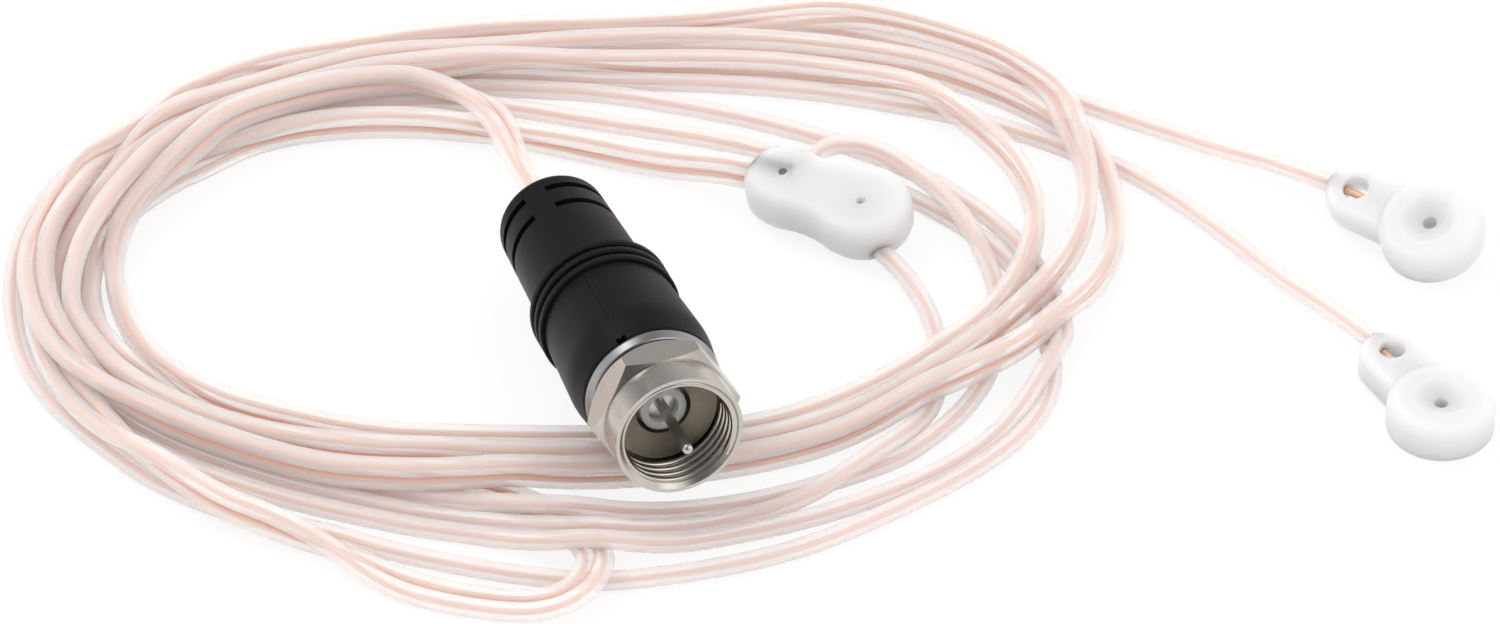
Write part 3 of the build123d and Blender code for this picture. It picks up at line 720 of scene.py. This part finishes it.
@dataclass
class Strand:
    """One insulated core in the bed of cords, with some points held fast at its ends."""

    cord: int
    rest: np.ndarray
    held_start: int
    held_end: int
    first: int

    @property
    def span(self) -> slice:
        """Place of the strand's points among all points."""
        return slice(self.first, self.first + len(self.rest))

    @property
    def held(self) -> np.ndarray:
        """Which of its points are held fast."""
        number = np.arange(len(self.rest))
        return (number < self.held_start) | (number >= len(self.rest) - self.held_end)


@dataclass
class CordBed:
    """Brings the loose turns to rest on the floor, on each other and round the hard pieces.

    Every strand is a row of points that keeps the bends of its route. In small steps it sinks, and is
    pushed off the floor, the plug, the block and the strands that it touches.
    """

    core_d: float
    twin_pitch: float
    plug_sizes: Stops = (
        (-0.3, 4.65), (13.2, 5.15), (13.3, 6.1), (16.8, 6.1), (27.6, 6.2), (31.6, 6.35), (34.65, 5.4),
    )
    block_centre: Point = (-14.6, 18.4, 1.05)
    block_turn: float = -30.0
    block_tilt: float = 13.0
    block_low: Point = (-6.6, -3.0, 0.0)
    block_high: Point = (7.4, 3.8, 4.2)
    steps: int = 260
    passes: int = 4
    search_every: int = 10
    search_reach: float = 1.5
    own_points: int = 7
    crowding: float = 0.6
    sink: float = 0.012
    memory: float = 0.45
    hold: float = 0.02
    smoothings: int = 3
    strands: list[Strand] = field(default_factory=list)
    twins: list[tuple[int, int]] = field(default_factory=list)

    def add_single(self, cord: int, line: np.ndarray, held_start: int, held_end: int) -> None:
        """Add a cord of one core."""
        first = sum(len(strand.rest) for strand in self.strands)
        self.strands.append(Strand(cord, line, held_start, held_end, first))

    def add_twin(self, cord: int, line: np.ndarray, held_start: int, held_end: int, lean: Stops) -> None:
        """Add a cord of two joined cores.

        Args:
            cord: Number of the cord.
            line: Its middle line.
            held_start: Points held fast at its start.
            held_end: Points held fast at its end.
            lean: Places along the cord and the degrees that it leans there from standing on its edge.
        """
        along = heading(line)
        up = unit(UPWARD - part_along(UPWARD, along))
        angle = np.radians(np.interp(run_of(line), [at for at, _ in lean], [tip for _, tip in lean]))
        up = up * np.cos(angle)[:, None] + np.cross(along, up) * np.sin(angle)[:, None]
        self.twins.append((len(self.strands), len(self.strands) + 1))
        for side in (0.5, -0.5):
            self.add_single(cord, line + up * self.twin_pitch * side, held_start, held_end)

    def touching(
        self, points: np.ndarray, cord: np.ndarray, place: np.ndarray
    ) -> tuple[np.ndarray, np.ndarray]:
        """Find pairs of points of different turns that are close to each other.

        Args:
            points: All points.
            cord: Cord of each point.
            place: Number of each point along its cord.

        Returns:
            The first and second point of each pair.
        """
        tree = KDTree(len(points))
        for number, point in enumerate(points):
            tree.insert(point, number)
        tree.balance()
        firsts: list[int] = []
        seconds: list[int] = []
        for number, point in enumerate(points):
            for _, other, _ in tree.find_range(point, self.core_d * self.search_reach):
                near = cord[number] == cord[other] and abs(place[number] - place[other]) < self.own_points
                if other > number and not near:
                    firsts.append(number)
                    seconds.append(other)
        return np.array(firsts, dtype=int), np.array(seconds, dtype=int)

    def push_apart(self, points: np.ndarray, firsts: np.ndarray, seconds: np.ndarray) -> None:
        """Part the pairs that are closer than a core's diameter."""
        gap = points[seconds] - points[firsts]
        size = np.maximum(np.linalg.norm(gap, axis=1), TINY)
        over = np.maximum(self.core_d - size, 0.0)
        push = gap / size[:, None] * (over * 0.5)[:, None]
        total = np.zeros_like(points)
        count = np.zeros(len(points))
        np.add.at(total, firsts, -push)
        np.add.at(total, seconds, push)
        np.add.at(count, firsts, over > 0.0)
        np.add.at(count, seconds, over > 0.0)
        points += total / np.maximum(count, 1.0)[:, None] ** self.crowding

    def join_twins(self, points: np.ndarray) -> None:
        """Bring the two cores of each twin abreast of each other and back to their pitch."""
        for upper, lower in self.twins:
            top, bottom = self.strands[upper].span, self.strands[lower].span
            gap = points[top] - points[bottom]
            slip = part_along(gap, heading((points[top] + points[bottom]) / 2))
            points[top] -= slip / 2
            points[bottom] += slip / 2
            gap = gap - slip
            size = np.maximum(np.linalg.norm(gap, axis=1), TINY)[:, None]
            fix = gap / size * (size - self.twin_pitch) / 2
            points[top] -= fix
            points[bottom] += fix

    def clear_plug(self, points: np.ndarray) -> None:
        """Push points out of the plug's round body."""
        axis = np.array(PLUG_AXIS)
        from_tail = points - np.array(PLUG_TAIL)
        place = from_tail @ axis
        out = from_tail - place[:, None] * axis
        size = np.maximum(np.linalg.norm(out, axis=1), TINY)
        radius = np.interp(place, [at for at, _ in self.plug_sizes], [wide for _, wide in self.plug_sizes])
        need = radius + self.core_d / 2 - size
        inside = (need > 0.0) & (place > self.plug_sizes[0][0]) & (place < self.plug_sizes[-1][0])
        points[inside] += (out / size[:, None] * need[:, None])[inside]

    def clear_block(self, points: np.ndarray) -> None:
        """Push points out of the junction block through its nearest side."""
        turned = Matrix.Rotation(math.radians(self.block_turn), 4, "Z")
        tilted = Matrix.Rotation(math.radians(self.block_tilt), 4, "X")
        frame = Matrix.Translation(self.block_centre) @ turned @ tilted
        turn = np.array(frame.to_3x3())
        local = (points - np.array(frame.translation)) @ turn
        low = np.array(self.block_low) - self.core_d / 2
        high = np.array(self.block_high) + self.core_d / 2
        depth = np.concatenate((local - low, high - local), axis=1)
        inside = np.all(depth > 0.0, axis=1)
        side = np.argmin(depth, axis=1)
        for number in np.flatnonzero(inside):
            axis = side[number] % 3
            sign = -1.0 if side[number] < 3 else 1.0
            points[number] += turn[:, axis] * sign * depth[number, side[number]]

    def settle(self) -> list[np.ndarray]:
        """Run the steps.

        Returns:
            The settled points of each strand, in millimetres.
        """
        rest = np.concatenate([strand.rest for strand in self.strands])
        cord = np.concatenate([np.full(len(strand.rest), strand.cord) for strand in self.strands])
        place = np.concatenate([np.arange(len(strand.rest)) for strand in self.strands])
        held = np.concatenate([strand.held for strand in self.strands])
        points = rest.copy()
        for step in range(self.steps):
            if step % self.search_every == 0:
                firsts, seconds = self.touching(points, cord, place)
            ease = 1.0 - step / self.steps
            points[:, 2] -= self.sink * ease
            points[:, :2] += (rest[:, :2] - points[:, :2]) * self.hold
            for strand in self.strands:
                moved = points[strand.span] - rest[strand.span]
                moved[1:-1] += self.memory * ((moved[:-2] + moved[2:]) / 2 - moved[1:-1])
                points[strand.span] = rest[strand.span] + moved
            for _ in range(self.passes):
                self.push_apart(points, firsts, seconds)
                self.join_twins(points)
            trial = points[~held]
            self.clear_plug(trial)
            self.clear_block(trial)
            points[~held] = trial
            points[held] = rest[held]
            points[:, 2] = np.maximum(points[:, 2], self.core_d / 2)
        return [self.smooth(points[strand.span]) for strand in self.strands]

    def smooth(self, line: np.ndarray) -> np.ndarray:
        """Take the last small waves out of a settled line."""
        line = line.copy()
        for _ in range(self.smoothings):
            line[1:-1] += 0.5 * ((line[:-2] + line[2:]) / 2 - line[1:-1])
        line[:, 2] = np.maximum(line[:, 2], self.core_d / 2)
        return line


class Tube:
    """Lofts a section along a line of stations into one closed mesh with its own UV map."""

    @staticmethod
    def frames(line: np.ndarray) -> tuple[np.ndarray, np.ndarray]:
        """Two directions across a line, carried along it without twist.

        Args:
            line: Stations.

        Returns:
            The upward and the sideways direction at each station.
        """
        along = heading(line)
        up = np.empty_like(line)
        current = UPWARD
        for number, direction in enumerate(along):
            current = current - direction * (current @ direction)
            current = current / np.linalg.norm(current)
            up[number] = current
        return up, np.cross(along, up)

    @staticmethod
    def loft(name: str, rings: np.ndarray, run: np.ndarray) -> bpy.types.Object:
        """Make the mesh. Its facets are fine and stay flat, so a clear skin keeps no dark rim.

        Args:
            name: Name of the piece.
            rings: Points of each ring, in millimetres, with one ring for each station.
            run: Length along the line at each station, in millimetres.

        Returns:
            The piece.
        """
        stations, sides = rings.shape[:2]
        last = (stations - 1) * sides
        faces = quads(stations, sides)
        faces.append(tuple(reversed(range(sides))))
        faces.append(tuple(range(last, last + sides)))
        uvs: list[float] = []
        for near, far in zip(run[:-1], run[1:]):
            for side in range(sides):
                left, right = side / sides, (side + 1) / sides
                uvs += [left, near, right, near, right, far, left, far]
        uvs += [0.0, run[0]] * sides + [0.0, run[-1]] * sides
        mesh = bpy.data.meshes.new(name)
        mesh.from_pydata((rings.reshape(-1, 3) * MM).tolist(), [], faces)
        mesh.uv_layers.new(name="along").data.foreach_set("uv", uvs)
        mesh.polygons.foreach_set("use_smooth", [False] * len(faces))
        work = bmesh.new()
        work.from_mesh(mesh)
        bmesh.ops.recalc_face_normals(work, faces=work.faces)
        work.to_mesh(mesh)
        work.free()
        return put(name, mesh)

    @classmethod
    def round(cls, name: str, line: np.ndarray, radius: float, sides: int) -> bpy.types.Object:
        """Loft a round tube along a line."""
        up, across = cls.frames(line)
        angles = np.linspace(0.0, math.tau, sides, endpoint=False)[None, :, None]
        ring = up[:, None] * np.cos(angles) + across[:, None] * np.sin(angles)
        return cls.loft(name, line[:, None] + ring * radius, run_of(line))


@dataclass
class Cords:
    """The twin feed cord and the two single arms, each with its conductors."""

    core_d: float = 1.65
    twin_pitch: float = 1.55
    web: float = 0.34
    conductor_r: float = 0.25
    lobe_points: int = 27
    arm_sides: int = 32
    conductor_sides: int = 12
    feed_held: tuple[int, int] = (16, 10)
    arm_held: tuple[int, int] = (8, 10)
    arm_leaves_at: int = 6
    lean: Stops = (
        (0.0, -32.0), (35.0, -28.0), (60.0, 0.0), (489.0, 0.0), (505.0, 85.0), (521.0, 85.0),
        (537.0, 0.0), (724.0, 0.0), (741.0, 85.0), (763.0, 85.0), (778.0, 0.0), (788.0, 0.0),
        (803.0, 85.0), (859.0, 88.0), (876.0, 0.0),
    )

    def figure_eight(self, upper: np.ndarray, lower: np.ndarray) -> np.ndarray:
        """Rings of the twin's sheath: two round cores joined by a thin web.

        Args:
            upper: Line of the first core.
            lower: Line of the second core.

        Returns:
            The points of each ring.
        """
        middle = (upper + lower) / 2
        along = heading(middle)
        gap = upper - lower
        up = unit(gap - part_along(gap, along))
        across = np.cross(along, up)
        radius = self.core_d / 2
        waist = math.asin(self.web / radius)
        sweep = np.linspace(-math.pi + waist, math.pi - waist, self.lobe_points)
        top = [(self.twin_pitch / 2 + radius * math.cos(a), radius * math.sin(a)) for a in sweep]
        section = top + [(-high, -wide) for high, wide in top]
        high = np.array([p[0] for p in section])[None, :, None]
        wide = np.array([p[1] for p in section])[None, :, None]
        return middle[:, None] + up[:, None] * high + across[:, None] * wide

    def build(self, finishes: Finishes) -> None:
        bed = CordBed(self.core_d, self.twin_pitch)
        bed.add_twin(0, CordRoute("feed_cord", FEED_POINTS).line(), *self.feed_held, self.lean)
        bed.add_single(1, CordRoute("arm_a_cord", ARM_A_POINTS).line(), *self.arm_held)
        bed.add_single(2, CordRoute("arm_b_cord", ARM_B_POINTS).line(), *self.arm_held)
        upper, lower, arm_a, arm_b = bed.settle()
        self.feed(finishes, upper, lower)
        self.arm(finishes, "a", arm_a)
        self.arm(finishes, "b", arm_b)

    def conductor(self, name: str, line: np.ndarray) -> bpy.types.Object:
        """Make the bare wire inside a core."""
        return Tube.round(name, line, self.conductor_r, self.conductor_sides)

    def feed(self, finishes: Finishes, upper: np.ndarray, lower: np.ndarray) -> None:
        """Make the twin cord from its two settled cores."""
        middle = (upper + lower) / 2
        sheath = Tube.loft("feed_cord", self.figure_eight(upper, lower), run_of(middle))
        cores = [
            self.conductor("feed_conductor_upper", upper), self.conductor("feed_conductor_lower", lower),
        ]
        nodes = ("feed_lead", "feed_fold", "feed_tail", "cord_coil")
        self.declare(finishes, sheath, cores, middle, self.core_d * 2, PLUG_TAIL, nodes)

    def arm(self, finishes: Finishes, side: str, line: np.ndarray) -> None:
        """Make one arm's cord."""
        sheath = Tube.round(f"arm_{side}_cord", line, self.core_d / 2, self.arm_sides)
        core = self.conductor(f"arm_{side}_conductor", line)
        nodes = (f"arm_{side}_root", f"arm_{side}_chord", f"arm_{side}_end")
        self.declare(finishes, sheath, [core], line, self.core_d, tuple(line[self.arm_leaves_at]), nodes)

    def declare(
        self, finishes: Finishes, sheath: bpy.types.Object, cores: list[bpy.types.Object],
        line: np.ndarray, diameter: float, leaves: Sequence[float], nodes: tuple[str, ...],
    ) -> None:
        """Dress a cord and hide the solids that it stands for.

        Args:
            finishes: Finishes of the antenna.
            sheath: The cord's outer piece.
            cores: Its conductors.
            line: Its middle line, in millimetres; not used.
            diameter: Its largest width, in millimetres; not used.
            leaves: Where it leaves the object, in millimetres; not used.
            nodes: Solids that it stands for.
        """
        finishes.dress(sheath, Slot.CLEAR_CORD, Body.ANTENNA)
        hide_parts(*nodes)
        for core in cores:
            finishes.dress(core, Slot.COPPER, Body.ANTENNA)
        [value * MM for value in leaves]
        diameter * MM
        (line * MM).tolist()


@dataclass
class FrontRing:
    """Plated ring that closes the moulded body towards the hexagon.

    Its profile gives places along the plug's axis and radii.
    """

    profile: Stops = (
        (27.62, 5.33), (27.62, 5.7), (27.7, 5.8), (27.85, 5.8), (28.4, 5.55), (28.5, 5.45), (28.5, 5.33),
    )
    sides: int = 144

    def build(self, finishes: Finishes) -> None:
        """Turn the profile round the plug's axis."""
        axis = np.array(PLUG_AXIS)
        across = np.cross(axis, UPWARD)
        across /= np.linalg.norm(across)
        turn = np.linspace(0.0, math.tau, self.sides, endpoint=False)[:, None]
        spokes = np.cos(turn) * across + np.sin(turn) * np.cross(across, axis)
        rims = [np.array(PLUG_TAIL) + at * axis + radius * spokes for at, radius in self.profile]
        points = np.stack(rims, axis=1).reshape(-1, 3)
        mesh = bpy.data.meshes.new("front_ring")
        mesh.from_pydata((points * MM).tolist(), [], quads(self.sides, len(self.profile), joined=True))
        mesh.update()
        finishes.dress(put("front_ring", mesh), Slot.NICKEL_PLATE, Body.ANTENNA)


@dataclass
class NutThread:
    """Turns of thread inside the coupling nut, swept along a spiral by a node tree."""

    start: float = 31.25
    pitch: float = 0.79
    turns: float = 4.1
    radius: float = 4.74
    crest: float = 0.3
    turn_points: int = 72
    crest_points: int = 6

    def tree(self, material: bpy.types.Material) -> bpy.types.NodeTree:
        """Node tree that makes the thread.

        Args:
            material: Finish of the thread.

        Returns:
            The tree, with its sizes as named inputs.
        """
        tree = bpy.data.node_groups.new("nut_thread_turns", "GeometryNodeTree")
        for name in ("Radius", "Pitch", "Turns", "Crest"):
            tree.interface.new_socket(name, in_out="INPUT", socket_type="NodeSocketFloat")
        for name in ("Place", "Turn"):
            tree.interface.new_socket(name, in_out="INPUT", socket_type="NodeSocketVector")
        tree.interface.new_socket("Geometry", in_out="OUTPUT", socket_type="NodeSocketGeometry")
        graph = Graph(tree)
        sizes = graph.node("NodeGroupInput").outputs
        height = Signal(graph, sizes["Pitch"]) * Signal(graph, sizes["Turns"])
        spiral = graph.node("GeometryNodeCurveSpiral", None, {
            "Resolution": self.turn_points, "Rotations": sizes["Turns"], "Start Radius": sizes["Radius"],
            "End Radius": sizes["Radius"], "Height": height,
        })
        upright = graph.node("GeometryNodeSetCurveNormal", {"mode": "Z_UP"}, {0: spiral.outputs[0]})
        crest = graph.node("GeometryNodeCurvePrimitiveCircle", None, {
            "Resolution": self.crest_points, "Radius": sizes["Crest"],
        })
        sweep = graph.node("GeometryNodeCurveToMesh", None, {
            "Curve": upright.outputs[0], "Profile Curve": crest.outputs[0], "Fill Caps": True,
        })
        placed = graph.node("GeometryNodeTransform", None, {
            "Geometry": sweep.outputs[0], "Translation": sizes["Place"], "Rotation": sizes["Turn"],
        })
        real = graph.node("GeometryNodeRealizeInstances", None, {0: placed.outputs[0]})
        painted = graph.node("GeometryNodeSetMaterial", None, {0: real.outputs[0], "Material": material})
        graph.node("NodeGroupOutput", None, {0: painted.outputs[0]})
        return tree

    def build(self, finishes: Finishes) -> None:
        """Make the thread as one plain mesh that turns with the nut."""
        axis = Vector(PLUG_AXIS)
        values = {
            "Radius": self.radius * MM, "Pitch": self.pitch * MM, "Turns": self.turns,
            "Crest": self.crest * MM, "Place": (Vector(PLUG_TAIL) + axis * self.start) * MM,
            "Turn": axis.to_track_quat("Z", "Y").to_euler(),
        }
        maker = put("nut_thread_maker", bpy.data.meshes.new("nut_thread_maker"))
        modifier = maker.modifiers.new("turns", "NODES")
        modifier.node_group = self.tree(finishes.made[Slot.NICKEL_PLATE])
        for item in modifier.node_group.interface.items_tree:
            if item.in_out == "INPUT":
                modifier[item.identifier] = values[item.name]
        mesh = take_mesh(maker)
        mesh.name = "nut_thread"
        mesh.polygons.foreach_set("use_smooth", [True] * len(mesh.polygons))
        finishes.dress(put("nut_thread", mesh), Slot.NICKEL_PLATE, Body.NUT)


@dataclass(frozen=True)
class Lamp:
    """A soft square lamp: its place and side in metres, and its power in watts."""

    name: str
    place: Point
    size: float
    power: float


@dataclass
class Studio:
    """White floor, soft light and the camera of the photograph."""

    target: Point = (-21.1, 7.2, 0.0)
    elevation: float = 41.0
    distance: float = 750.0
    lens: float = 214.2
    sensor: float = 36.0
    clip_start: float = 0.01
    floor_size: float = 3.0
    floor_tone: float = 0.9
    shadow_share: float = 0.16
    front_dome: float = 0.98
    back_dome: float = 1.2
    dark_card: float = 0.1
    side_card: float = 0.9
    back_card: float = 0.55
    flag: Point = (-0.63, 0.69, 0.36)
    flag_narrowing: int = 3
    flag_depth: float = 0.62
    lamps: tuple[Lamp, ...] = (
        Lamp("key_lamp", (-0.45, 0.25, 0.7), 0.5, 2.4), Lamp("fill_lamp", (0.5, -0.4, 0.6), 0.6, 1.4),
    )

    def rays(self, graph: Graph, *kinds: str) -> list[Signal]:
        """For each kind of ray, a value that is 1 for such rays and 0 for others."""
        path = graph.node("ShaderNodeLightPath")
        return [Signal(graph, path.outputs[f"Is {kind} Ray"]) for kind in kinds]

    def floor(self) -> None:
        """Floor that shows as the white background and keeps a soft shadow."""
        mesh = bpy.data.meshes.new("studio_floor")
        half = self.floor_size / 2
        corners = [(-half, -half, 0.0), (half, -half, 0.0), (half, half, 0.0), (-half, half, 0.0)]
        mesh.from_pydata(corners, [], [(0, 1, 2, 3)])
        floor = put("studio_floor", mesh)
        material = bpy.data.materials.new("studio_white")
        graph = Graph.on(material)
        tone = (self.floor_tone, self.floor_tone, self.floor_tone, 1.0)
        paint = graph.node("ShaderNodeBsdfDiffuse", None, {"Color": tone}).outputs[0]
        glow = graph.node("ShaderNodeEmission", None, {"Color": WHITE}).outputs[0]
        seen, gloss, through = self.rays(graph, "Camera", "Glossy", "Transmission")
        share = (seen + gloss + through).at_most(1.0) * (1.0 - self.shadow_share)
        graph.surface(graph.node("ShaderNodeMixShader", None, {0: share, 1: paint, 2: glow}).outputs[0])
        mesh.materials.append(material)

    def world(self) -> None:
        """Dome that is white behind the object and darker behind the camera, with dark cards for gloss."""
        world = bpy.data.worlds.new("studio_dome")
        bpy.context.scene.world = world
        graph = Graph.on(world)
        sideways, depth, height = graph.parts("Generated")
        seen, gloss = self.rays(graph, "Camera", "Glossy")
        backward = depth.half_up()
        towards_flag = sideways * self.flag[0] + depth * self.flag[1] + height * self.flag[2]
        light = self.front_dome + backward * (self.back_dome - self.front_dome)
        cards = self.dark_card + sideways * sideways * self.side_card + backward * backward * self.back_card
        cards = cards - towards_flag.squared(self.flag_narrowing) * self.flag_depth
        ambient = light + gloss * (cards - light)
        strength = ambient + seen * (1.0 - ambient)
        shader = graph.node("ShaderNodeBackground", None, {"Color": WHITE, "Strength": strength}).outputs[0]
        graph.node("ShaderNodeOutputWorld", None, {"Surface": shader})

    def light(self, lamp: Lamp) -> None:
        """Add a lamp that faces the object."""
        data = bpy.data.lights.new(lamp.name, "AREA")
        data.size = lamp.size
        data.energy = lamp.power
        item = put(lamp.name, data)
        item.location = lamp.place
        aim = Vector(self.target) * MM - Vector(lamp.place)
        item.rotation_euler = aim.to_track_quat("-Z", "Y").to_euler()

    def camera(self) -> None:
        """Camera at the photograph's angle."""
        data = bpy.data.cameras.new("photo_camera")
        data.sensor_width = self.sensor
        data.lens = self.lens
        data.clip_start = self.clip_start
        camera = put("photo_camera", data)
        tilt = math.radians(self.elevation)
        back = Vector((0.0, -math.cos(tilt), math.sin(tilt))) * self.distance * MM
        camera.location = Vector(self.target) * MM + back
        camera.rotation_euler = (-back).to_track_quat("-Z", "Y").to_euler()
        bpy.context.scene.camera = camera

    def build(self) -> None:
        """Make the studio."""
        bpy.context.scene.view_settings.view_transform = "Standard"
        self.floor()
        self.world()
        for lamp in self.lamps:
            self.light(lamp)
        self.camera()


def main() -> None:
    """Build the sub-assemblies in order."""
    logging.basicConfig(level=logging.INFO, format="%(message)s")
    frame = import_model()
    finishes = Finishes().build()
    for name, slot in NODE_SLOTS.items():
        finishes.paint(frame["nodes"][name], slot)
    Cords().build(finishes)
    FrontRing().build(finishes)
    NutThread().build(finishes)
    Studio().build()


if __name__ == "__main__":
    main()
